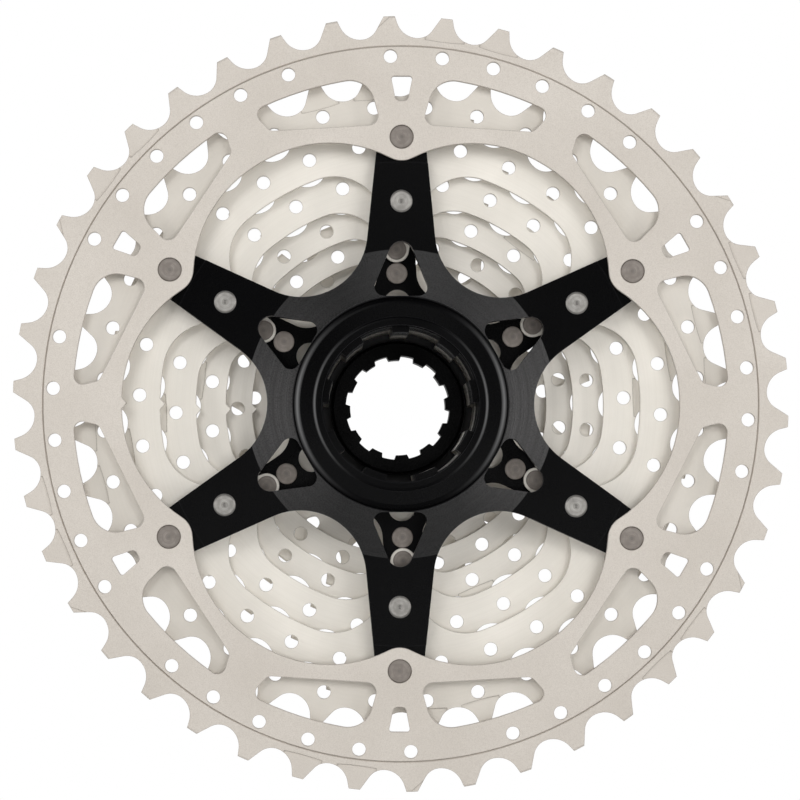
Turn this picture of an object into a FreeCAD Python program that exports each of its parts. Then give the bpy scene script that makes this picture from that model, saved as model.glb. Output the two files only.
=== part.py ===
import FreeCAD, Part
import os
from math import acos, atan2, cos, degrees, hypot, radians, sin, sqrt

import Sketcher

# Eleven-sprocket bicycle cassette, in millimetres.
# +Y runs along the freehub axis, outboard; X and Z lie in the plane of the sprockets, Z up.
# y = 0 is the inboard seating face of the large spider's hub.
# Angles run from +X towards +Z, as seen by someone who looks along +Y.

V = FreeCAD.Vector
TEETH = (42, 36, 32, 28, 24, 21, 19, 17, 15, 13, 11)

SIZES = {
    # chain and plates
    "chain_pitch": 12.7,
    "spacing": 3.74,
    "plate": 1.6,
    "big_plate": 1.8,
    "first_face": 1.6,
    # one tooth gap: a seat of two tangent arcs, a steep flank and a gentle flank
    "root_drop": 4.0,
    "root_drop_36": 4.5,
    "tooth_rise": 4.8,
    "steep_seat": 4.85,
    "steep_flank_deg": 69.0,
    "gentle_seat": 3.9,
    "gentle_flank_deg": 56.0,
    "tooth_band": 6.76,
    "band_step": 0.2,
    "band_groove": 0.3,
    "tip_bevel_radial": 0.35,
    "tip_bevel_axial": 0.15,
    "recess_depth": 0.5,
    "hole_dia": 3.0,
    # freehub splines
    "spline_major": 17.2,
    "spline_tip": 15.9,
    "spline_tooth_deg": 18.0,
    "spline_key_deg": 13.0,
    "pilot_dia": 34.9,
    "pilot_depth": 2.0,
    "relief_dia": 35.8,
    "relief_depth": 1.0,
    # large spider
    "arm_deg": 29.8,
    "arm_half_root": 11.2,
    "arm_half_slope": 0.1005,
    "crotch_radius": 14.6,
    "crotch_centre": 44.1,
    "arm_end": 63.8,
    "arm_face": 2.1,
    "arm_pad_start": 53.6,
    "arm_pad_back": 51.9,
    "arm_boss_start": 38.5,
    "collar_radius": 23.75,
    "cone_end": 34.2,
    "web_back": 6.6,
    "large_sleeve_radius": 22.0,
    "large_hub_length": 11.2,
    "window_apex": 33.3,
    "window_apex_radius": 2.75,
    "window_base": 25.9,
    "window_base_half": 3.9,
    "window_base_radius": 2.0,
    # small spider
    "small_arm_deg": 31.2,
    "small_arm_half_root": 5.85,
    "small_arm_half_slope": 0.049,
    "small_floor": 26.0,
    "small_corner_radius": 6.0,
    "small_arm_end": 38.2,
    "small_sleeve_radius": 19.8,
    "light_hole_circle": 23.0,
    "light_hole_dia": 6.0,
    "light_hole_depth": 3.2,
    # rivets: circle they sit on, head radius, shank radius
    "tip_circle": 59.07,
    "tip_head": 2.65,
    "mid_circle": 44.9,
    "mid_head": 2.5,
    "outer_circle": 34.8,
    "outer_head": 2.2,
    "inner_circle": 29.6,
    "inner_head": 2.37,
    "shank": 1.5,
    "head_rise": 0.35,
    "head_sink": 0.7,
    # spacers, bosses, washer and lockring
    "spacer_radius": 21.2,
    "boss_radius": 19.0,
    "last_boss_radius": 17.9,
    "last_boss_rise": 0.8,
    "washer_bore": 15.5,
    "washer_radius": 17.6,
    "washer_plate": 0.5,
    "ring_flange_radius": 17.9,
    "ring_flange": 1.8,
    "ring_thread_radius": 15.25,
    "ring_sleeve": 6.2,
    "ring_root": 11.95,
    "ring_tip": 10.95,
    "ring_tooth_deg": 13.0,
    "thread_step": 1.058,
    "thread_depth": 0.5,
}

doc = FreeCAD.newDocument("cassette")
sheet = doc.addObject("Spreadsheet::Sheet", "sizes")
for row, (alias, number) in enumerate(SIZES.items(), start=1):
    sheet.set(f"A{row}", alias)
    sheet.set(f"B{row}", str(number))
    sheet.setAlias(f"B{row}", alias)
doc.recompute()


def size(alias):
    """One driving dimension, read from the sheet."""
    return float(sheet.get(alias))


# ---------------------------------------------------------------- plane geometry


def polar(radius, angle_deg):
    """A point of the sprocket plane from its radius and angle."""
    return V(radius * cos(radians(angle_deg)), radius * sin(radians(angle_deg)), 0)


def line(start, end):
    return Part.LineSegment(start, end)


def arc(start, through, end):
    return Part.Arc(start, through, end)


def axis_arc(radius, start_deg, end_deg):
    """Arc about the cassette's own axis."""
    middle = (start_deg + end_deg) / 2
    return arc(polar(radius, start_deg), polar(radius, middle), polar(radius, end_deg))


def towards(start, target, distance):
    """The point at a distance from start on the way to target."""
    step = target - start
    return start + step * (distance / step.Length)


def rounded(corners):
    """Closed outline of straight sides; corners are (point, fillet radius)."""
    starts, ends, curves = [], [], []
    count = len(corners)
    for index, (point, radius) in enumerate(corners):
        before = corners[index - 1][0] - point
        after = corners[(index + 1) % count][0] - point
        half = before.getAngle(after) / 2
        run = radius * cos(half) / sin(half)
        first = towards(point, point + before, run)
        last = towards(point, point + after, run)
        bisector = before.normalize() + after.normalize()
        centre = towards(point, point + bisector, radius / sin(half))
        starts.append(first)
        ends.append(last)
        curves.append(arc(first, towards(centre, point, radius), last))
    sides = [line(ends[i], starts[(i + 1) % count]) for i in range(count)]
    return curves + sides


def blend_to_rim(rim, corner, inner, fillet, side):
    """Fillet between the rim circle and the straight side from corner to inner.

    side is +1 when the outline lies towards larger angles. Returns the point on the rim,
    the point on the side and the arc between them.
    """
    along = (inner - corner).normalize()
    normal = V(-along.y, along.x, 0)
    if normal.dot(polar(1, degrees(atan2(corner.y, corner.x)) + 90 * side)) < 0:
        normal = normal * -1
    base = corner + normal * fillet
    half_b = base.dot(along)
    reach = -half_b - sqrt(half_b**2 - base.dot(base) + (rim - fillet) ** 2)
    if reach < 0:
        reach = -half_b + sqrt(half_b**2 - base.dot(base) + (rim - fillet) ** 2)
    centre = base + along * reach
    on_side = corner + along * reach
    on_rim = centre * (rim / centre.Length)
    middle = towards(centre, corner, fillet)
    return on_rim, on_side, arc(on_rim, middle, on_side)


# ---------------------------------------------------------------- document helpers

PARTS = []


def new_body(label, place=None):
    """An empty PartDesign body; place is an expression for its position along +Y."""
    body = doc.addObject("PartDesign::Body", label)
    body.Label = label
    if place:
        body.setExpression("Placement.Base.y", place)
    PARTS.append(body)
    return body


def sketch_on(body, name, role, geometry, depth=0.0):
    """A sketch on one of the body's own planes; depth moves it along +Y."""
    sketch = body.newObject("Sketcher::SketchObject", f"{body.Label}_{name}")
    plane = [item for item in body.Origin.OriginFeatures if item.Role == role][0]
    sketch.AttachmentSupport = [(plane, "")]
    sketch.MapMode = "FlatFace"
    if depth:
        # the XZ plane's normal points along -Y
        sketch.AttachmentOffset = FreeCAD.Placement(V(0, 0, -depth), FreeCAD.Rotation())
    sketch.addGeometry(geometry, False)
    return sketch


def outline(points):
    """Closed polygon through the points."""
    return [line(points[i - 1], points[i]) for i in range(len(points))]


def revolve(body, name, points):
    """Solid of revolution about the cassette's axis; points are (radius, y)."""
    corners = [V(radius, y, 0) for radius, y in points]
    sketch = sketch_on(body, name, "XY_Plane", outline(corners))
    turned = body.newObject("PartDesign::Revolution", f"{body.Label}_{name}_turned")
    turned.Profile = sketch
    turned.ReferenceAxis = (sketch, ["V_Axis"])
    turned.Angle = 360
    sketch.Visibility = False
    return turned


def cut(body, name, geometry, depth=None, start=0.0):
    """Pocket towards +Y from the plane at start; through everything unless depth is given."""
    doc.recompute()
    before = body.Tip.Shape.Volume
    sketch = sketch_on(body, name, "XZ_Plane", geometry, start)
    pocket = body.newObject("PartDesign::Pocket", f"{body.Label}_{name}_cut")
    pocket.Profile = sketch
    if depth is None:
        pocket.Type = "ThroughAll"
    else:
        pocket.Type = "Length"
        pocket.setExpression("Length", depth)
    doc.recompute()
    if not pocket.Shape.Volume < before - 0.01:
        raise RuntimeError(f"{body.Label} {name} cut nothing")
    return pocket


def repeat(body, feature, count):
    """Polar pattern of a feature about the cassette's axis; count is a number of copies."""
    before = feature.Shape.Volume
    pattern = body.newObject("PartDesign::PolarPattern", f"{feature.Name}_pattern")
    pattern.Originals = [feature]
    pattern.Axis = (feature.Profile[0], ["N_Axis"])
    pattern.Angle = 360
    pattern.Occurrences = count
    body.Tip = pattern
    doc.recompute()
    if not pattern.Shape.Volume < before - 0.01:
        raise RuntimeError(f"{pattern.Label} changed nothing")
    return pattern


# ---------------------------------------------------------------- shared outlines


def pitch_radius(teeth):
    return size("chain_pitch") / 2 / sin(radians(180 / teeth))


def root_radius(teeth):
    """Floor of the tooth gaps; the 36 tooth plate is cut a little deeper."""
    drop = size("root_drop_36") if teeth == 36 else size("root_drop")
    return pitch_radius(teeth) - drop


def tip_radius(teeth):
    return root_radius(teeth) + size("tooth_rise")


def spline_bore():
    """Nine inward spline teeth, of which the one at the top is the narrow key."""
    major, tip = size("spline_major"), size("spline_tip")
    curves = []
    pitch = 40.0
    for index in range(9):
        here = 90 + pitch * index
        width = size("spline_key_deg") if index == 0 else size("spline_tooth_deg")
        following = size("spline_key_deg") if index == 8 else size("spline_tooth_deg")
        start, end = here - width / 2, here + width / 2
        next_start = here + pitch - following / 2
        curves.append(line(polar(major, start), polar(tip, start)))
        curves.append(axis_arc(tip, start, end))
        curves.append(line(polar(tip, end), polar(major, end)))
        curves.append(axis_arc(major, end, next_start))
    return curves


def lobed_ring(inner, corner, circle, nose, arm_deg, nub=True):
    """Inner outline of a riveted ring: six bays, and a rounded nose around each rivet.

    A bay is an arc about the axis that runs through two corner arcs into the noses.
    One bay has a small pointed nub at its middle.
    """
    reach = inner - corner
    cosine = (reach**2 + circle**2 - (corner + nose) ** 2) / (2 * reach * circle)
    spread = degrees(acos(cosine))
    flat = 30 - spread
    nub_half = degrees(1.2 / inner)
    curves = []
    for index in range(6):
        arm = arm_deg + 60 * index
        middle = arm + 30
        centre_a = polar(reach, middle - flat)
        centre_b = polar(reach, middle + flat)
        rivet_a = polar(circle, arm)
        rivet_b = polar(circle, arm + 60)
        leave = towards(rivet_a, centre_a, nose)
        arrive = towards(rivet_b, centre_b, nose)
        bay_start = polar(inner, middle - flat)
        bay_end = polar(inner, middle + flat)
        # the corner arc passes through the point that faces away from the rivet's side
        swing_a = (leave - centre_a).normalize() + (bay_start - centre_a).normalize()
        swing_b = (arrive - centre_b).normalize() + (bay_end - centre_b).normalize()
        curves.append(arc(leave, towards(centre_a, centre_a + swing_a, corner), bay_start))
        if nub and index == 2 and flat > nub_half:
            left, right = polar(inner, middle - nub_half), polar(inner, middle + nub_half)
            apex = polar(inner - 1.1, middle)
            curves.append(axis_arc(inner, middle - flat, middle - nub_half))
            curves.append(line(left, apex))
            curves.append(line(apex, right))
            curves.append(axis_arc(inner, middle + nub_half, middle + flat))
        else:
            curves.append(axis_arc(inner, middle - flat, middle + flat))
        curves.append(arc(bay_end, towards(centre_b, centre_b + swing_b, corner), arrive))
        nose_end = towards(rivet_b, polar(reach, middle + 60 - flat), nose)
        curves.append(arc(arrive, polar(circle - nose, arm + 60), nose_end))
    return curves


def tooth_gap(teeth, angle_deg):
    """One gap between two teeth, drawn past the tips."""
    root = root_radius(teeth)
    top = size("tooth_rise") + 1.0

    def at(across, rise):
        # across runs towards larger angles, rise runs outward from the root circle
        outward = polar(1, angle_deg)
        return outward * (root + rise) + V(-outward.y, outward.x, 0) * across

    def side(radius, flank_deg, sign):
        flank = radians(flank_deg)
        end = (radius * sin(flank), radius * (1 - cos(flank)))
        middle = (radius * sin(flank / 2), radius * (1 - cos(flank / 2)))
        far = end[0] + (top - end[1]) * cos(flank) / sin(flank)
        curve = arc(at(0, 0), at(sign * middle[0], middle[1]), at(sign * end[0], end[1]))
        return curve, line(at(sign * end[0], end[1]), at(sign * far, top)), at(sign * far, top)

    steep, steep_flank, steep_top = side(size("steep_seat"), size("steep_flank_deg"), 1)
    gentle, gentle_flank, gentle_top = side(size("gentle_seat"), size("gentle_flank_deg"), -1)
    return [steep, steep_flank, line(steep_top, gentle_top), gentle_flank, gentle]


def hole_ring(radius, diameter, angles):
    """Round holes on one circle."""
    axis = V(0, 0, 1)
    return [Part.Circle(polar(radius, angle), axis, diameter / 2) for angle in angles]


def evenly(first_deg, count):
    return [first_deg + 360 * index / count for index in range(count)]


# ---------------------------------------------------------------- sprockets


def plate_place(index):
    """Position of a plate's inboard face; index 0 is the largest sprocket."""
    return f"<<sizes>>.first_face + {index} * <<sizes>>.spacing"


def sprocket(teeth, gap_deg, plate="plate", inner=12.0, boss_in=0.0, boss_out=0.0, banded=False):
    """Turned blank with bevelled tips, then the tooth gaps.

    boss_in and boss_out are how far a boss stands out of the inboard and outboard face.
    """
    body = new_body(f"sprocket_{teeth}t", plate_place(TEETH.index(teeth)))
    tip, thick = tip_radius(teeth), size(plate)
    bevel, chamfer = size("tip_bevel_radial"), size("tip_bevel_axial")
    band = tip - size("tooth_band")
    step = size("band_step")
    face = step if banded else 0.0
    points = [(inner, -boss_in)]
    if boss_in:
        points += [(size("boss_radius") - 0.3, -boss_in), (size("boss_radius"), 0.3 - boss_in)]
        points += [(size("boss_radius"), 0)]
    if banded:
        groove = size("band_groove")
        points += [(band, 0), (band, step + groove), (band + groove, step)]
    points += [(tip - bevel, face), (tip, face + chamfer)]
    points += [(tip, thick - chamfer), (tip - bevel, thick)]
    if boss_out:
        rim = size("last_boss_radius")
        points += [(rim, thick), (rim, thick + boss_out - 0.2), (rim - 0.2, thick + boss_out)]
    points += [(inner, thick + boss_out)]
    revolve(body, "blank", points)
    gap = cut(body, "gap", tooth_gap(teeth, gap_deg), start=-0.5 - boss_in)
    repeat(body, gap, teeth)
    return body


def shift_recesses(body, teeth, tooth_angles):
    """Shallow scallops on the inboard face of chosen teeth, where the chain climbs."""
    root, tip = root_radius(teeth), tip_radius(teeth)
    half = 0.36 * 360 / teeth
    curves = []
    for angle in tooth_angles:
        start, end = polar(root - 0.2, angle - half), polar(root - 0.2, angle + half)
        curves.append(arc(start, polar(root - 0.5, angle), end))
        curves.append(line(end, polar(tip + 1, angle + half)))
        curves.append(line(polar(tip + 1, angle + half), polar(tip + 1, angle - half)))
        curves.append(line(polar(tip + 1, angle - half), start))
    cut(body, "recess", curves, depth="<<sizes>>.recess_depth")


def corner_bevels(body, teeth, tooth_angles):
    """A slanted relief on the leading corner of chosen teeth."""
    tip = tip_radius(teeth)
    pitch = 360 / teeth
    curves = []
    for angle in tooth_angles:
        inner = polar(tip - 3.6, angle + 0.34 * pitch)
        outer = polar(tip + 1, angle - 0.1 * pitch)
        beyond = polar(tip + 1, angle + 0.4 * pitch)
        curves += outline([inner, outer, beyond])
    cut(body, "relief", curves, depth="<<sizes>>.recess_depth * 0.8")


def ring_slots(arm_deg):
    """Two long slots and a small keystone beside each arm of the largest sprocket."""
    rim = 72.5
    curves = []
    for index in range(6):
        arm = arm_deg + 60 * index
        for side in (1, -1):
            wide_out, wide_in = polar(rim, arm + side * 5.9), polar(61.9, arm + side * 4.2)
            slim_out, slim_in = polar(rim, arm + side * 27.2), polar(66.9, arm + side * 25.8)
            rim_a, side_a, bend_a = blend_to_rim(rim, wide_out, wide_in, 5.5, side)
            rim_b, side_b, bend_b = blend_to_rim(rim, slim_out, slim_in, 1.9, -side)
            start = degrees(atan2(rim_a.y, rim_a.x))
            sweep = degrees(rim_a.getAngle(rim_b)) * side
            curves.append(axis_arc(rim, start, start + sweep))
            curves += [bend_a, bend_b]
            # the inner two corners are fillets between straight sides
            for before, point, after, fillet in (
                (side_b, slim_in, wide_in, 1.9),
                (slim_in, wide_in, side_a, 2.2),
            ):
                half = (before - point).getAngle(after - point) / 2
                run = fillet * cos(half) / sin(half)
                first, last = towards(point, before, run), towards(point, after, run)
                bisector = (before - point).normalize() + (after - point).normalize()
                centre = towards(point, point + bisector, fillet / sin(half))
                curves.append(arc(first, towards(centre, point, fillet), last))
                if point is slim_in:
                    curves.append(line(side_b, first))
                    slim_last = last
                else:
                    curves.append(line(slim_last, first))
                    curves.append(line(last, side_a))
        across = V(-sin(radians(arm)), cos(radians(arm)), 0)
        curves += rounded([
            (polar(72.5, arm) + across * 2.4, 0.6),
            (polar(72.5, arm) - across * 2.4, 0.6),
            (polar(67.0, arm) - across * 1.3, 1.0),
            (polar(67.0, arm) + across * 1.3, 1.0),
        ])
    return curves


def rivet_holes(body, circle, arm_deg, sink=None, start=0.0):
    """Six shank holes, with an optional counterbore for a flush head."""
    angles = evenly(arm_deg, 6)
    holes = hole_ring(size(circle), 2 * size("shank"), angles)
    cut(body, f"{circle}_holes", holes, start=-20)
    if sink:
        heads = hole_ring(size(circle), 2 * size(sink), angles)
        cut(body, f"{circle}_sinks", heads, depth="<<sizes>>.head_sink", start=start)


def sprocket_42():
    arm = size("arm_deg")
    body = sprocket(42, 10.3, plate="big_plate", inner=40.0, banded=True)
    cut(body, "bays", lobed_ring(61.7, 29.0, size("tip_circle"), 5.2, arm))
    kept = [5.97 + 360 / 42 * index for index in range(42) if index % 7 != 4]
    cut(body, "holes", hole_ring(76.9, size("hole_dia"), kept))
    cut(body, "slots", ring_slots(arm))
    pairs = [14.5 + 60 * index for index in range(6)] + [23.1 + 60 * index for index in range(6)]
    shift_recesses(body, 42, pairs)
    corner_bevels(body, 42, [31.6 + 60 * index for index in range(6)])
    rivet_holes(body, "tip_circle", arm, sink="tip_head")


def sprocket_36():
    arm = size("arm_deg")
    body = sprocket(36, 10.1, inner=40.0)
    cut(body, "bays", lobed_ring(63.0, 29.0, size("tip_circle"), 4.0, arm, nub=False))
    kept = [5.1 + 10 * index for index in range(36) if index not in (3, 21)]
    cut(body, "holes", hole_ring(66.07, size("hole_dia"), kept))
    shift_recesses(body, 36, [angle + 90 * turn for turn in range(4) for angle in (5.1, 15.1)])
    rivet_holes(body, "tip_circle", arm)


def sprocket_32():
    arm = size("arm_deg")
    body = sprocket(32, 3.5, inner=36.0)
    cut(body, "bays", lobed_ring(53.5, 11.0, size("mid_circle"), 4.6, arm))
    cut(body, "holes", hole_ring(58.12, size("hole_dia"), evenly(9.1, 32)))
    shift_recesses(body, 32, [9.1 + 90 * turn for turn in range(4)])
    rivet_holes(body, "mid_circle", arm)


def sprocket_28():
    arm = size("small_arm_deg")
    body = sprocket(28, 8.4, inner=28.0)
    cut(body, "bays", lobed_ring(45.6, 10.0, size("outer_circle"), 2.8, arm))
    cut(body, "holes", hole_ring(50.13, size("hole_dia"), evenly(1.9, 28)))
    shift_recesses(body, 28, [1.9 + 90 * turn for turn in range(4)])
    rivet_holes(body, "outer_circle", arm)


def sprocket_24():
    arm = size("small_arm_deg")
    body = sprocket(24, 0.2, inner=22.0)
    cut(body, "bays", lobed_ring(39.0, 6.0, size("inner_circle"), 3.6, arm))
    cut(body, "holes", hole_ring(42.4, size("hole_dia"), evenly(7.7, 24)))
    shift_recesses(body, 24, [52.7, 172.7, 292.7])
    rivet_holes(body, "inner_circle", arm)


def web_windows(inner, outer, web_half, arm_deg):
    """Six openings between the webs that join a plate's rim to its splined centre."""
    curves = []
    for index in range(6):
        middle = arm_deg + 30 + 60 * index
        span_in, span_out = 30 - degrees(web_half / inner), 30 - degrees(web_half / outer)
        if index == 2:
            half = degrees(1.1 / outer)
            left, right = polar(outer, middle - half), polar(outer, middle + half)
            apex = polar(outer - 1.1, middle)
            curves += [axis_arc(outer, middle - span_out, middle - half), line(left, apex)]
            curves += [line(apex, right), axis_arc(outer, middle + half, middle + span_out)]
        else:
            curves.append(axis_arc(outer, middle - span_out, middle + span_out))
        curves.append(line(polar(outer, middle + span_out), polar(inner, middle + span_in)))
        curves.append(axis_arc(inner, middle + span_in, middle - span_in))
        curves.append(line(polar(inner, middle - span_in), polar(outer, middle - span_out)))
    return curves


def sprocket_21():
    body = sprocket(21, 0.9)
    cut(body, "splines", spline_bore())
    cut(body, "windows", web_windows(22.8, 33.2, 3.6, size("small_arm_deg")))
    cut(body, "holes", hole_ring(36.4, size("hole_dia"), evenly(9.5, 21)))


def sprocket_19():
    body = sprocket(19, 15.6)
    cut(body, "splines", spline_bore())
    cut(body, "holes", hole_ring(32.75, size("hole_dia"), evenly(6.1, 19)))


def small_sprocket(teeth, gap_deg, hole_circle=0.0):
    """A loose sprocket; the smaller plates have no room for a ring of holes."""
    body = sprocket(teeth, gap_deg)
    cut(body, "splines", spline_bore())
    if hole_circle:
        cut(body, "holes", hole_ring(hole_circle, size("hole_dia"), evenly(gap_deg, teeth)))


def bossed_sprocket(teeth, gap_deg, boss_out=0.0):
    """The two smallest sprockets carry their own spacer as a boss on the inboard face."""
    boss_in = size("spacing") - size("plate")
    body = sprocket(teeth, gap_deg, boss_in=boss_in, boss_out=boss_out)
    cut(body, "splines", spline_bore(), start=-boss_in - 1)


# ---------------------------------------------------------------- spiders


def between_arms(arm_deg, half_root, half_slope, fillet, centre, end):
    """Openings between straight tapered arms; each side runs tangent off one fillet circle."""
    tilt = degrees(atan2(half_slope, 1))
    curves = []
    for index in range(6):
        arm = arm_deg + 60 * index
        middle = arm + 30
        hub = polar(centre, middle)
        # feet of the fillet circle on the sides of the two arms
        foot_a = hub + polar(fillet, arm - tilt - 90)
        foot_b = hub + polar(fillet, arm + 60 + tilt + 90)
        run_a = end * 1.2 - foot_a.dot(polar(1, arm))
        far_a = foot_a + polar(run_a, arm - tilt)
        run_b = end * 1.2 - foot_b.dot(polar(1, arm + 60))
        far_b = foot_b + polar(run_b, arm + 60 + tilt)
        curves.append(arc(foot_a, hub + polar(-fillet, middle), foot_b))
        curves.append(line(foot_b, far_b))
        curves.append(line(far_b, far_a))
        curves.append(line(far_a, foot_a))
    return curves


def spider_windows(arm_deg):
    """Rounded triangle through each arm of the large spider, base towards the hub."""
    apex_r, base_r = size("window_apex_radius"), size("window_base_radius")
    gap = hypot(size("window_apex") - size("window_base"), size("window_base_half"))
    lean = degrees(atan2(size("window_base_half"), size("window_apex") - size("window_base")))
    flare = degrees(acos((apex_r - base_r) / gap))
    curves = []
    for index in range(6):
        arm = arm_deg + 60 * index
        across = polar(size("window_base_half"), arm + 90)
        top = polar(size("window_apex"), arm)
        base = polar(size("window_base"), arm)
        left, right = base + across, base - across
        # the side of the window is a common tangent of the apex circle and a base circle
        normal_l = arm + 180 - lean - flare
        normal_r = arm - 180 + lean + flare
        top_l, top_r = top + polar(apex_r, normal_l), top + polar(apex_r, normal_r)
        side_l, side_r = left + polar(base_r, normal_l), right + polar(base_r, normal_r)
        foot_l, foot_r = left + polar(-base_r, arm), right + polar(-base_r, arm)
        bend_l = left + polar(base_r, (normal_l + arm + 180) / 2)
        bend_r = right + polar(base_r, (normal_r + arm - 180) / 2)
        curves.append(arc(top_l, top + polar(apex_r, arm), top_r))
        curves.append(line(top_r, side_r))
        curves.append(arc(side_r, bend_r, foot_r))
        curves.append(line(foot_r, foot_l))
        curves.append(arc(foot_l, bend_l, side_l))
        curves.append(line(side_l, top_l))
    return curves


def between_short_arms():
    """Openings of the small spider: straight arm sides, a flat floor and rounded corners."""
    half, slope = size("small_arm_half_root"), size("small_arm_half_slope")
    floor, far = size("small_floor"), size("small_arm_end") * 1.25
    fillet = size("small_corner_radius")

    def side_point(arm, radius, side):
        return polar(radius, arm) + polar(half - slope * radius, arm + 90 * side)

    curves = []
    for index in range(6):
        arm = size("small_arm_deg") + 60 * index
        curves += rounded([
            (side_point(arm, far, 1), 0.5),
            (side_point(arm, floor, 1), fillet),
            (side_point(arm + 60, floor, -1), fillet),
            (side_point(arm + 60, far, -1), 0.5),
        ])
    return curves


def large_spider():
    """Hub, conical web and six arms that carry the three largest sprockets."""
    body = new_body("large_spider")
    face_42_back = size("first_face") + size("big_plate")
    face_36 = size("first_face") + size("spacing")
    face_32 = size("first_face") + 2 * size("spacing")
    collar = size("collar_radius")
    sleeve = size("large_sleeve_radius")
    arm_face, web = size("arm_face"), size("web_back")
    length = size("large_hub_length")
    revolve(body, "body", [
        (12, 0),
        (18.7, 0),
        (18.98, 0.06),
        (19.2, 0.22),
        (19.32, 0.45),
        (22.3, 0.52),
        (22.75, 0.62),
        (23.15, 0.84),
        (23.45, 1.16),
        (collar, 1.6),
        (collar, 1.8),
        (collar + 0.35, 1.8),
        (collar + 0.35, 1.35),
        (size("cone_end"), arm_face),
        (size("arm_pad_start"), arm_face),
        (size("arm_pad_start"), face_42_back),
        (size("arm_end"), face_42_back),
        (size("arm_end"), face_36),
        (size("arm_pad_back"), face_36),
        (size("arm_pad_back"), face_32),
        (size("arm_boss_start"), face_32),
        (size("arm_boss_start") - 2.4, web),
        (sleeve + 1.6, web),
        (sleeve, web + 1.6),
        (sleeve, length - 0.4),
        (sleeve - 0.4, length),
        (12, length),
    ])
    cut(body, "arms", between_arms(
        size("arm_deg"), size("arm_half_root"), size("arm_half_slope"),
        size("crotch_radius"), size("crotch_centre"), size("arm_end"),
    ), start=-1)
    cut(body, "windows", spider_windows(size("arm_deg")), start=-1)
    cut(body, "splines", spline_bore(), start=-1)
    pilot = [Part.Circle(V(0, 0, 0), V(0, 0, 1), size("pilot_dia") / 2)]
    cut(body, "pilot", pilot, depth="<<sizes>>.pilot_depth")
    relief = [Part.Circle(V(0, 0, 0), V(0, 0, 1), size("relief_dia") / 2)]
    relief_start = length - size("relief_depth")
    cut(body, "relief", relief, depth="<<sizes>>.relief_depth", start=relief_start)
    rivet_holes(body, "tip_circle", size("arm_deg"))
    rivet_holes(body, "mid_circle", size("arm_deg"), sink="mid_head", start=arm_face)


def small_spider():
    """Sleeve and six short arms between the 28 and the 24 tooth sprockets."""
    start = size("large_hub_length")
    body = new_body("small_spider", "<<sizes>>.large_hub_length")
    arm_in = size("first_face") + 3 * size("spacing") + size("plate") - start
    arm_out = size("first_face") + 4 * size("spacing") - start
    end = size("first_face") + 5 * size("spacing") - start
    sleeve, hub_end = size("small_sleeve_radius"), size("small_arm_end")
    revolve(body, "body", [
        (12, 0),
        (sleeve - 0.4, 0),
        (sleeve, 0.4),
        (sleeve, arm_in - 0.6),
        (sleeve + 0.6, arm_in),
        (hub_end, arm_in),
        (hub_end, arm_out),
        (sleeve + 0.6, arm_out),
        (sleeve, arm_out + 0.6),
        (sleeve, end - 0.4),
        (sleeve - 0.4, end),
        (12, end),
    ])
    cut(body, "arms", between_short_arms(), start=-1)
    around = evenly(size("small_arm_deg"), 6)
    holes = hole_ring(size("light_hole_circle"), size("light_hole_dia"), around)
    cut(body, "light_holes", holes, depth="<<sizes>>.light_hole_depth", start=arm_in - 0.8)
    cut(body, "splines", spline_bore(), start=-1)
    rivet_holes(body, "inner_circle", size("small_arm_deg"))
    rivet_holes(body, "outer_circle", size("small_arm_deg"))
    sinks = hole_ring(size("outer_circle"), 2 * size("outer_head"), around)
    cut(body, "sinks", sinks, depth="<<sizes>>.head_sink", start=arm_out - size("head_sink"))


# ---------------------------------------------------------------- rivets


def rivets(label, circle, arm_deg, profile):
    """Six equal rivets on one circle; profile is a list of (radius, y) about a rivet's axis."""
    centre = size(circle)
    body = new_body(label)
    body.AllowCompound = True
    body.Placement = FreeCAD.Placement(V(), FreeCAD.Rotation(V(0, 1, 0), -arm_deg))
    points = [V(centre + radius, y, 0) for radius, y in profile]
    sketch = sketch_on(body, "half", "XY_Plane", outline(points))
    low, high = points[0].y, points[-1].y
    sketch.addGeometry(line(V(centre, low - 1, 0), V(centre, high + 1, 0)), True)
    turned = body.newObject("PartDesign::Revolution", f"{label}_turned")
    turned.Profile = sketch
    turned.ReferenceAxis = (sketch, ["Axis0"])
    turned.Angle = 360
    doc.recompute()
    pattern = body.newObject("PartDesign::PolarPattern", f"{label}_ring")
    pattern.Originals = [turned]
    pattern.Axis = (sketch, ["V_Axis"])
    pattern.Angle = 360
    pattern.Occurrences = 6
    body.Tip = pattern
    doc.recompute()
    if len(pattern.Shape.Solids) != 6:
        raise RuntimeError(f"{label} has {len(pattern.Shape.Solids)} solids")


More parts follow.
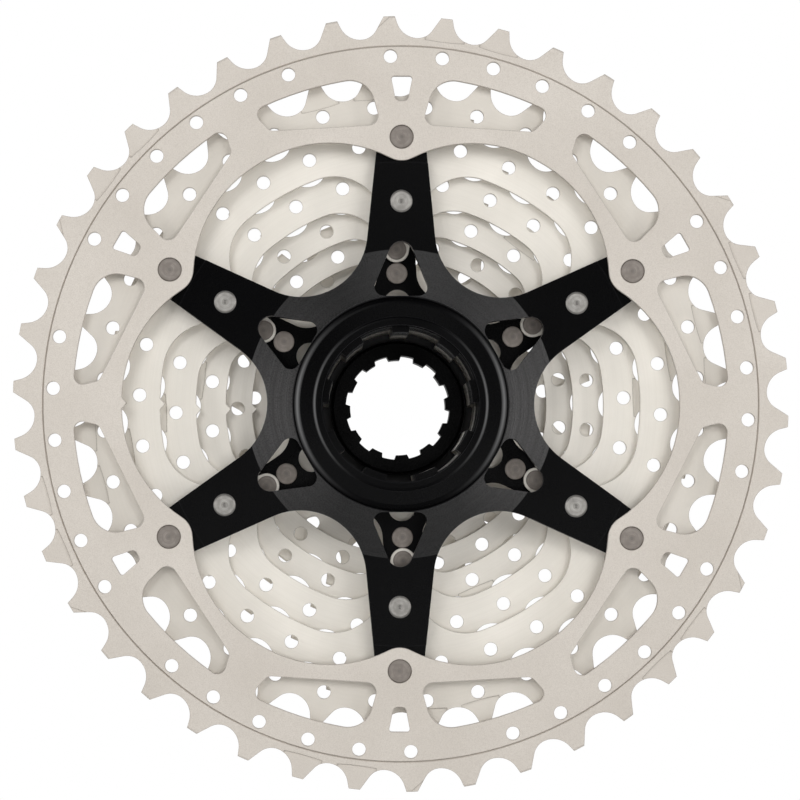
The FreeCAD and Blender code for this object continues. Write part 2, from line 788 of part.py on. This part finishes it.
def all_rivets():
    shank, rise, sink = size("shank"), size("head_rise"), size("head_sink")
    first = size("first_face")
    face_36_back = first + size("spacing") + size("plate")
    face_32_back = first + 2 * size("spacing") + size("plate")
    face_28 = first + 3 * size("spacing")
    face_24 = first + 4 * size("spacing")
    arm_face = size("arm_face")

    head = size("tip_head")
    rivets("tip_rivets", "tip_circle", size("arm_deg"), [
        (0, first), (head - 0.25, first), (head, first + 0.2), (head, first + sink),
        (shank, first + sink), (shank, face_36_back), (head - 0.4, face_36_back),
        (head - 0.7, face_36_back + rise), (0, face_36_back + rise),
    ])
    head = size("mid_head")
    rivets("mid_arm_rivets", "mid_circle", size("arm_deg"), [
        (0, arm_face + 0.1), (0.45, arm_face - 0.1), (head - 0.4, arm_face - 0.1),
        (head, arm_face + 0.15), (head, arm_face + sink), (shank, arm_face + sink),
        (shank, face_32_back), (head, face_32_back), (head - 0.4, face_32_back + rise),
        (0, face_32_back + rise),
    ])
    head = size("outer_head")
    rivets("small_spider_outer_rivets", "outer_circle", size("small_arm_deg"), [
        (0, face_28 - rise), (head - 0.1, face_28 - rise), (head, face_28 - rise + 0.1), (head, face_28),
        (shank, face_28), (shank, face_24 - sink), (head, face_24 - sink),
        (head, face_24), (0, face_24),
    ])
    head = size("inner_head")
    arm_in = face_28 + size("plate")
    back = face_24 + size("plate")
    rivets("small_spider_inner_rivets", "inner_circle", size("small_arm_deg"), [
        (0, arm_in - rise), (head - 0.1, arm_in - rise), (head, arm_in - rise + 0.1), (head, arm_in),
        (shank, arm_in), (shank, back), (head, back),
        (head - 0.35, back + rise), (0, back + rise),
    ])


# ---------------------------------------------------------------- spacers and lockring


def spacer(inboard, outboard):
    """Loose spacer ring between two sprockets, with the same splines."""
    index = TEETH.index(inboard)
    body = new_body(
        f"spacer_{inboard}_{outboard}", f"{plate_place(index)} + <<sizes>>.plate"
    )
    gap = size("spacing") - size("plate")
    outer = size("spacer_radius")
    revolve(body, "ring", [
        (12, 0), (outer - 0.25, 0), (outer, 0.25),
        (outer, gap - 0.25), (outer - 0.25, gap), (12, gap),
    ])
    cut(body, "splines", spline_bore(), start=-1)


LAST_FACE = "<<sizes>>.first_face + 10 * <<sizes>>.spacing + <<sizes>>.plate + <<sizes>>.last_boss_rise"


def lockring_washer():
    body = new_body("lockring_washer", LAST_FACE)
    bore, rim, thick = size("washer_bore"), size("washer_radius"), size("washer_plate")
    revolve(body, "ring", [(bore, 0), (rim, 0), (rim, thick), (bore, thick)])


def lockring_opening():
    """Twelve inward tool teeth."""
    root, tip = size("ring_root"), size("ring_tip")
    half = size("ring_tooth_deg") / 2
    curves = []
    for index in range(12):
        here = 4.5 + 30 * index
        curves.append(line(polar(root, here - half - 1.5), polar(tip, here - half)))
        curves.append(axis_arc(tip, here - half, here + half))
        curves.append(line(polar(tip, here + half), polar(root, here + half + 1.5)))
        curves.append(axis_arc(root, here + half + 1.5, here + 30 - half - 1.5))
    return curves


def lockring():
    """Flanged ring with an outside thread on its sleeve and tool splines through it."""
    body = new_body("lockring", LAST_FACE + " + <<sizes>>.washer_plate")
    rim, flange = size("ring_flange_radius"), size("ring_flange")
    crest, sleeve = size("ring_thread_radius"), size("ring_sleeve")
    step, depth = size("thread_step"), size("thread_depth")
    points = [(8, -sleeve), (crest - 0.6, -sleeve), (crest, 0.6 - sleeve)]
    # four turned grooves stand for the thread, each one pitch further out
    for turn in range(4):
        crest_end = 0.6 - sleeve + 0.35 + turn * step
        points += [(crest, crest_end), (crest - depth, crest_end + step / 2 - 0.17)]
        points += [(crest, crest_end + step - 0.35)]
    points += [(crest, 0), (rim, 0), (rim, flange - 0.5), (rim - 0.5, flange), (8, flange)]
    revolve(body, "ring", points)
    cut(body, "tool_teeth", lockring_opening(), start=-sleeve - 1)


# ---------------------------------------------------------------- build and write

large_spider()
small_spider()
sprocket_42()
sprocket_36()
sprocket_32()
sprocket_28()
sprocket_24()
sprocket_21()
sprocket_19()
small_sprocket(17, 4.0, hole_circle=27.3)
small_sprocket(15, 10.0)
bossed_sprocket(13, 2.0)
bossed_sprocket(11, 12.0, boss_out=size("last_boss_rise"))
spacer(21, 19)
spacer(19, 17)
spacer(17, 15)
all_rivets()
lockring_washer()
lockring()

doc.recompute()
for item in doc.Objects:
    if "Invalid" in item.State or "Error" in item.State:
        raise RuntimeError(f"{item.Label} is {item.State}")

os.makedirs("parts", exist_ok=True)
for body in PARTS:
    shape = body.Shape
    if shape.isNull() or not shape.isValid():
        raise RuntimeError(f"{body.Label} has no valid shape")
    shape.exportStep(f"parts/{body.Label}.step")
    print(body.Label, len(shape.Solids), round(shape.Volume, 1))
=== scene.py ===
import math

import bpy
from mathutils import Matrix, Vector

# Looks of an eleven-sprocket bicycle cassette, seen from its inboard side.
# Metres; +Y is outboard along the freehub axis, +Z up, origin on the hub's inboard face.

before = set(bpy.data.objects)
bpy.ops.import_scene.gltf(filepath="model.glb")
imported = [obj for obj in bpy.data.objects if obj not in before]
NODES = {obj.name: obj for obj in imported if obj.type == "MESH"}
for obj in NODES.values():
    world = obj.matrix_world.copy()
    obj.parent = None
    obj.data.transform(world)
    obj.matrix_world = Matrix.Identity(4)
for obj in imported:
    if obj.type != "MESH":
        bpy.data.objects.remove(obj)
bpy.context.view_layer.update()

MM = 0.001
STEEL_SPROCKETS = [f"sprocket_{teeth}t" for teeth in (32, 28, 24, 21, 19, 17, 15, 13, 11)]
SPACERS = ["spacer_21_19", "spacer_19_17", "spacer_17_15"]

# ------------------------------------------------------------------ node helpers


class Shader:
    """A material's node tree with short calls for the nodes used here."""

    def __init__(self, name):
        self.material = bpy.data.materials.new(name)
        self.material.use_nodes = True
        self.tree = self.material.node_tree
        self.body = self.tree.nodes["Principled BSDF"]
        self.place = self.add("ShaderNodeTexCoord").outputs["Object"]

    def add(self, kind, **settings):
        node = self.tree.nodes.new(kind)
        for name, value in settings.items():
            setattr(node, name, value)
        return node

    def link(self, start, end):
        self.tree.links.new(start, end)

    def feed(self, socket, value):
        """Set a socket to a number or a colour, or link it to another socket."""
        if isinstance(value, (int, float)):
            socket.default_value = value
        elif isinstance(value, tuple):
            socket.default_value = (*value, 1.0) if len(value) == 3 else value
        else:
            self.link(value, socket)

    def noise(self, scale, detail, place=None):
        """Noise from 0 to 1; place replaces the object's own coordinates."""
        node = self.add("ShaderNodeTexNoise")
        node.inputs["Scale"].default_value = scale
        node.inputs["Detail"].default_value = detail
        node.inputs["Roughness"].default_value = 0.55
        self.link(place or self.place, node.inputs["Vector"])
        return node.outputs["Fac"]

    def ramp(self, value, low, high, start, end):
        """Map value from start..end to low..high."""
        node = self.add("ShaderNodeMapRange")
        self.link(value, node.inputs["Value"])
        node.inputs["From Min"].default_value = start
        node.inputs["From Max"].default_value = end
        node.inputs["To Min"].default_value = low
        node.inputs["To Max"].default_value = high
        return node.outputs["Result"]

    def math(self, operation, first, second=0.0, third=0.0):
        """One math node; the operands are numbers or sockets."""
        node = self.add("ShaderNodeMath", operation=operation)
        for socket, value in zip(node.inputs, (first, second, third)):
            self.feed(socket, value)
        return node.outputs[0]

    def length(self, first, second):
        """Square root of the sum of two squares."""
        squares = [self.math("MULTIPLY", value, value) for value in (first, second)]
        return self.math("SQRT", self.math("ADD", *squares))

    def mix(self, amount, first, second):
        """Colour between first and second; sockets 6 and 7 are the node's two colours."""
        node = self.add("ShaderNodeMix", data_type="RGBA")
        self.feed(node.inputs[0], amount)
        self.feed(node.inputs[6], first)
        self.feed(node.inputs[7], second)
        return node.outputs[2]

    def polar(self):
        """Radius from the freehub axis, angle round it and distance along it; metres and radians."""
        split = self.add("ShaderNodeSeparateXYZ")
        self.link(self.place, split.inputs[0])
        across, along, up = split.outputs
        return self.length(across, up), self.math("ARCTAN2", up, across), along

    def from_rivet(self, circle, arm_deg):
        """Distance from the middle of the nearest of six rivets on a circle."""
        radius, angle, _ = self.polar()
        half_step = math.radians(30)
        turned = self.math("SUBTRACT", angle, math.radians(arm_deg))
        local = self.math("WRAP", turned, half_step, -half_step)
        out = self.math("SUBTRACT", self.math("MULTIPLY", radius, self.math("COSINE", local)), circle)
        return self.length(out, self.math("MULTIPLY", radius, self.math("SINE", local)))

    def edge(self, width):
        """1 along sharp edges and 0 on flats, from a rounded normal against the true one."""
        sharp, flat = 0.82, 0.995
        bevel = self.add("ShaderNodeBevel", samples=6)
        bevel.inputs["Radius"].default_value = width
        true = self.add("ShaderNodeNewGeometry").outputs["Normal"]
        dot = self.add("ShaderNodeVectorMath", operation="DOT_PRODUCT")
        self.link(bevel.outputs[0], dot.inputs[0])
        self.link(true, dot.inputs[1])
        return self.ramp(dot.outputs["Value"], 1.0, 0.0, sharp, flat)

    def bump(self, height, distance, strength):
        """Surface relief; distance is its depth in metres."""
        node = self.add("ShaderNodeBump")
        node.inputs["Strength"].default_value = strength
        node.inputs["Distance"].default_value = distance
        self.link(height, node.inputs["Height"])
        self.link(node.outputs["Normal"], self.body.inputs["Normal"])

    def set(self, **values):
        """Feed inputs of the surface shader; an underscore stands for a space."""
        for name, value in values.items():
            self.feed(self.body.inputs[name.replace("_", " ")], value)


def turned_place(shader, along_scale):
    """Coordinates that stretch noise round the axis, for lathe and grinding marks."""
    radius, _, along = shader.polar()
    join = shader.add("ShaderNodeCombineXYZ")
    shader.link(radius, join.inputs[0])
    shader.link(shader.math("MULTIPLY", along, along_scale), join.inputs[1])
    return join.outputs[0]


def blasted_alloy():
    """Fine bead-blasted warm silver of the largest sprocket."""
    s = Shader("blasted_alloy")
    grain = s.noise(5200, 4)
    cloud = s.noise(38, 2)
    tone = s.mix(s.ramp(cloud, 0, 1, 0.3, 0.7), (0.66, 0.61, 0.55), (0.73, 0.68, 0.62))
    tone = s.mix(s.ramp(grain, 0, 0.5, 0.4, 0.7), tone, (0.54, 0.49, 0.435))
    # painted shade: sharp edges are darkened, for the dark bevels along plate edges and holes
    tone = s.mix(s.math("MULTIPLY", s.edge(0.3 * MM), 0.8), tone, (0.30, 0.27, 0.24))
    s.set(Base_Color=tone, Metallic=0.35, Roughness=s.ramp(grain, 0.5, 0.68, 0.3, 0.7))
    s.bump(grain, 0.04 * MM, 0.8)
    return s.material


def sprocket_steel(name, low, high):
    """Nickel-plated steel, satin, with faint grinding marks and a creamy tone."""
    s = Shader(name)
    grain = s.noise(3600, 4)
    cloud = s.noise(55, 3)
    turned = s.noise(2600, 2, place=turned_place(s, 0.05))
    tone = s.mix(s.ramp(cloud, 0, 1, 0.3, 0.7), low, high)
    tone = s.mix(s.ramp(turned, 0, 0.25, 0.4, 0.8), tone, (0.72, 0.68, 0.61))
    # painted shade: sharp edges are darkened, for the dark bevels along plate edges and holes
    tone = s.mix(s.math("MULTIPLY", s.edge(0.3 * MM), 0.8), tone, (0.26, 0.23, 0.20))
    s.set(Base_Color=tone, Metallic=0.55, Roughness=s.ramp(grain, 0.36, 0.54, 0.3, 0.7))
    s.bump(s.math("ADD", s.math("MULTIPLY", turned, 0.6), grain), 0.02 * MM, 0.5)
    return s.material


def black_anodised():
    """Black anodised alloy: blasted arms; grey lathe rings on the cone round the hub, their grey
    partly turned finish and partly painted reflection; painted highlights on the collar's shoulders.
    """
    s = Shader("black_anodised")
    cone_start, cone_end, cone_depth = 23.9 * MM, 34.2 * MM, 2.4 * MM
    collar_depth, collar_fade = 1.6 * MM, 1.9 * MM
    soft = 0.05 * MM
    radius, angle, along = s.polar()
    cone = s.math(
        "MULTIPLY",
        s.ramp(radius, 0.0, 1.0, cone_start - soft, cone_start + soft),
        s.ramp(radius, 1.0, 0.0, cone_end - soft, cone_end + soft),
    )
    cone = s.math("MULTIPLY", cone, s.ramp(along, 1.0, 0.0, cone_depth - soft, cone_depth + soft))
    grain = s.noise(4800, 3)
    rings = s.noise(5200, 2, place=turned_place(s, 0.02))
    cloud = s.noise(45, 2)
    tone = s.mix(s.ramp(cloud, 0, 1, 0.3, 0.7), (0.0008, 0.0008, 0.0010), (0.0015, 0.0015, 0.0018))
    # painted highlight: the cone's grey is partly its turned finish and partly painted reflection; it
    # is painted lighter to the left and right of the axis and darker above and below, where the side
    # lamps would show in the lathe rings
    painted_sheen = s.math("ABSOLUTE", s.math("COSINE", angle))
    lathe = s.mix(s.ramp(rings, 0, 1, 0.3, 0.75), (0.035, 0.034, 0.034), (0.075, 0.074, 0.074))
    lathe = s.mix(s.ramp(painted_sheen, 0.75, 0.0, 0.5, 1.0), lathe, (0.018, 0.018, 0.018))
    tone = s.mix(cone, tone, lathe)
    # painted highlight: the two rounded shoulders of the collar are painted light grey, strongest to
    # the left and right of the axis, for the side lamps' reflection in them
    for shoulder, width in ((19.1 * MM, 0.4 * MM), (22.9 * MM, 0.7 * MM)):
        away = s.math("ABSOLUTE", s.math("SUBTRACT", radius, shoulder))
        near = s.ramp(away, 1.0, 0.0, 0.0, width)
        near = s.math("MULTIPLY", near, s.ramp(along, 1.0, 0.0, collar_depth, collar_fade))
        painted_glint = s.math("MULTIPLY", near, s.math("POWER", painted_sheen, 5.0))
        tone = s.mix(painted_glint, tone, (0.17, 0.17, 0.172))
    tone = s.mix(s.math("MULTIPLY", s.edge(0.2 * MM), 0.35), tone, (0.06, 0.06, 0.065))
    tangent = s.add("ShaderNodeTangent", direction_type="RADIAL", axis="Y")
    height = s.math("ADD", s.math("MULTIPLY", cone, rings), s.math("MULTIPLY", grain, 0.4))
    s.set(Base_Color=tone, Metallic=s.math("MULTIPLY", cone, 0.7))
    s.set(Roughness=s.ramp(grain, 0.24, 0.32, 0.3, 0.7))
    s.set(Anisotropic=0.8, Tangent=tangent.outputs[0], Specular_IOR_Level=0.05)
    s.bump(height, 0.03 * MM, 0.5)
    return s.material


def rivet_steel(name, dark, light, circle, arm_deg):
    """Formed rivet heads: spun rings round a small pip, with a few stains."""
    s = Shader(name)
    pip, pip_end = 0.3 * MM, 0.5 * MM
    middle = s.from_rivet(circle * MM, arm_deg)
    line = s.add("ShaderNodeCombineXYZ")
    s.link(middle, line.inputs[0])
    rings = s.noise(2600, 1, place=line.outputs[0])
    stain = s.noise(700, 3)
    fine = s.noise(6500, 2)
    tone = s.mix(s.ramp(stain, 0, 1, 0.35, 0.65), dark, light)
    tone = s.mix(s.ramp(rings, 0, 0.8, 0.4, 0.6), tone, dark)
    tone = s.mix(s.ramp(middle, 0.4, 0.0, pip, pip_end), tone, (0.08, 0.075, 0.07))
    tone = s.mix(s.math("MULTIPLY", s.edge(0.12 * MM), 0.5), tone, (0.08, 0.07, 0.065))
    s.set(Base_Color=tone, Metallic=0.6, Roughness=s.ramp(fine, 0.34, 0.48, 0.3, 0.7))
    s.bump(s.math("ADD", rings, s.math("MULTIPLY", fine, 0.3)), 0.03 * MM, 0.5)
    return s.material


def washer_steel():
    """Steel washer under the lockring, coloured near black."""
    s = Shader("washer_steel")
    rings = s.noise(4200, 3, place=turned_place(s, 1.0))
    cloud = s.noise(80, 2)
    tone = s.mix(s.ramp(cloud, 0, 1, 0.3, 0.7), (0.010, 0.010, 0.011), (0.018, 0.018, 0.019))
    tone = s.mix(s.math("MULTIPLY", s.edge(0.1 * MM), 0.4), tone, (0.20, 0.20, 0.20))
    s.set(Base_Color=tone, Metallic=0.3, Roughness=s.ramp(rings, 0.34, 0.48, 0.3, 0.7))
    s.set(Specular_IOR_Level=0.2)
    s.bump(rings, 0.03 * MM, 0.6)
    return s.material


def dress(names, material):
    """Give each named CAD node its finished material."""
    for name in names:
        mesh = NODES[name].data
        mesh.materials.clear()
        mesh.materials.append(material)


# dark and light tone of each kind of rivet head
BRIGHT = (0.24, 0.23, 0.215), (0.42, 0.405, 0.38)
STAINED = (0.20, 0.175, 0.155), (0.29, 0.26, 0.235)
# degrees of the first arm of each spider; each rivet ring's radius is in millimetres below
LARGE_ARM, SMALL_ARM = 29.8, 31.2

dress(["sprocket_42t"], blasted_alloy())
# painted shade: the 36T behind the 42T gets a darker copy of the sprocket steel, for the shadow the
# 42T casts on it
dress(["sprocket_36t"], sprocket_steel("shaded_36t_steel", (0.63, 0.59, 0.53), (0.70, 0.66, 0.60)))
dress(STEEL_SPROCKETS, sprocket_steel("sprocket_steel", (0.80, 0.76, 0.69), (0.87, 0.83, 0.76)))
dress(["large_spider", "small_spider", "lockring", *SPACERS], black_anodised())
dress(["lockring_washer"], washer_steel())
for rivets, colours, circle, arm_deg in (
    ("tip_rivets", STAINED, 59.07, LARGE_ARM),
    ("mid_arm_rivets", BRIGHT, 44.9, LARGE_ARM),
    ("small_spider_outer_rivets", STAINED, 34.8, SMALL_ARM),
    ("small_spider_inner_rivets", STAINED, 29.6, SMALL_ARM),
):
    dress([rivets], rivet_steel(f"{rivets}_steel", *colours, circle, arm_deg))

# ------------------------------------------------------------------ studio


def floor():
    """Round pale floor a little below the cassette."""
    radius, drop, sides = 0.85, -0.16, 96
    turns = [2 * math.pi * index / sides for index in range(sides)]
    rim = [(radius * math.cos(turn), radius * math.sin(turn), drop) for turn in turns]
    mesh = bpy.data.meshes.new("floor")
    mesh.from_pydata(rim, [], [tuple(range(sides))])
    stage = bpy.data.objects.new("floor", mesh)
    bpy.context.collection.objects.link(stage)
    s = Shader("floor_paper")
    s.set(Base_Color=s.mix(s.noise(3, 2), (0.90, 0.90, 0.89), (0.93, 0.93, 0.92)), Roughness=0.9)
    mesh.materials.append(s.material)


def soft_light(name, place, target, width, height, power):
    """Rectangular soft box that faces the target."""
    lamp = bpy.data.lights.new(name, "AREA")
    lamp.shape = "RECTANGLE"
    lamp.size, lamp.size_y, lamp.energy = width, height, power
    box = bpy.data.objects.new(name, lamp)
    box.location = place
    box.rotation_euler = (Vector(target) - Vector(place)).to_track_quat("-Z", "Y").to_euler()
    bpy.context.collection.objects.link(box)


def studio():
    """Floor, soft boxes in front, at the sides and behind, and a white backdrop."""
    floor()
    centre = (0.0, 0.02, 0.0)
    soft_light("key", (-0.42, -1.35, 0.48), centre, 0.45, 0.45, 3.6)
    soft_light("fill", (0.48, -1.35, 0.30), centre, 0.45, 0.45, 2.8)
    soft_light("low_fill", (0.05, -1.35, -0.12), centre, 0.5, 0.12, 0.8)
    soft_light("left_strip", (-1.0, -0.7, 0.05), centre, 0.25, 0.9, 5)
    soft_light("right_strip", (1.0, -0.7, 0.05), centre, 0.25, 0.9, 5)
    soft_light("back_key", (-0.6, 1.3, 0.6), centre, 0.4, 0.4, 4.5)
    soft_light("back_fill", (0.8, 1.2, 0.2), centre, 0.5, 0.5, 2.0)
    world = bpy.data.worlds.new("studio")
    world.use_nodes = True
    tree = world.node_tree
    background = tree.nodes["Background"]
    background.inputs["Color"].default_value = (1, 1, 1, 1)
    # the backdrop is white, and the room that lights the part is dimmer
    rays = tree.nodes.new("ShaderNodeLightPath")
    level = tree.nodes.new("ShaderNodeMapRange")
    room_level = 0.22
    level.inputs["To Min"].default_value = room_level
    level.inputs["To Max"].default_value = 1.0
    tree.links.new(rays.outputs["Is Camera Ray"], level.inputs["Value"])
    tree.links.new(level.outputs["Result"], background.inputs["Strength"])
    bpy.context.scene.world = world
    bpy.context.scene.view_settings.view_transform = "Standard"


def camera():
    """Level along the freehub axis, a little below and left of it, with shift to centre the view."""
    # the frame is field wide at y = plane, which is distance in front of the eye
    distance = 0.860
    plane = 1.6 * MM
    field = 176.8 * MM
    sensor = 36
    lens = bpy.data.cameras.new("camera")
    lens.sensor_width = sensor
    lens.lens = sensor * distance / field
    lens.shift_x, lens.shift_y = 0.093, 0.126
    lens.clip_start = 0.01
    eye = bpy.data.objects.new("camera", lens)
    eye.location = (-16.6 * MM, plane - distance, -21.4 * MM)
    eye.rotation_euler = (math.pi / 2, 0, 0)
    bpy.context.collection.objects.link(eye)
    bpy.context.scene.camera = eye


studio()
camera()
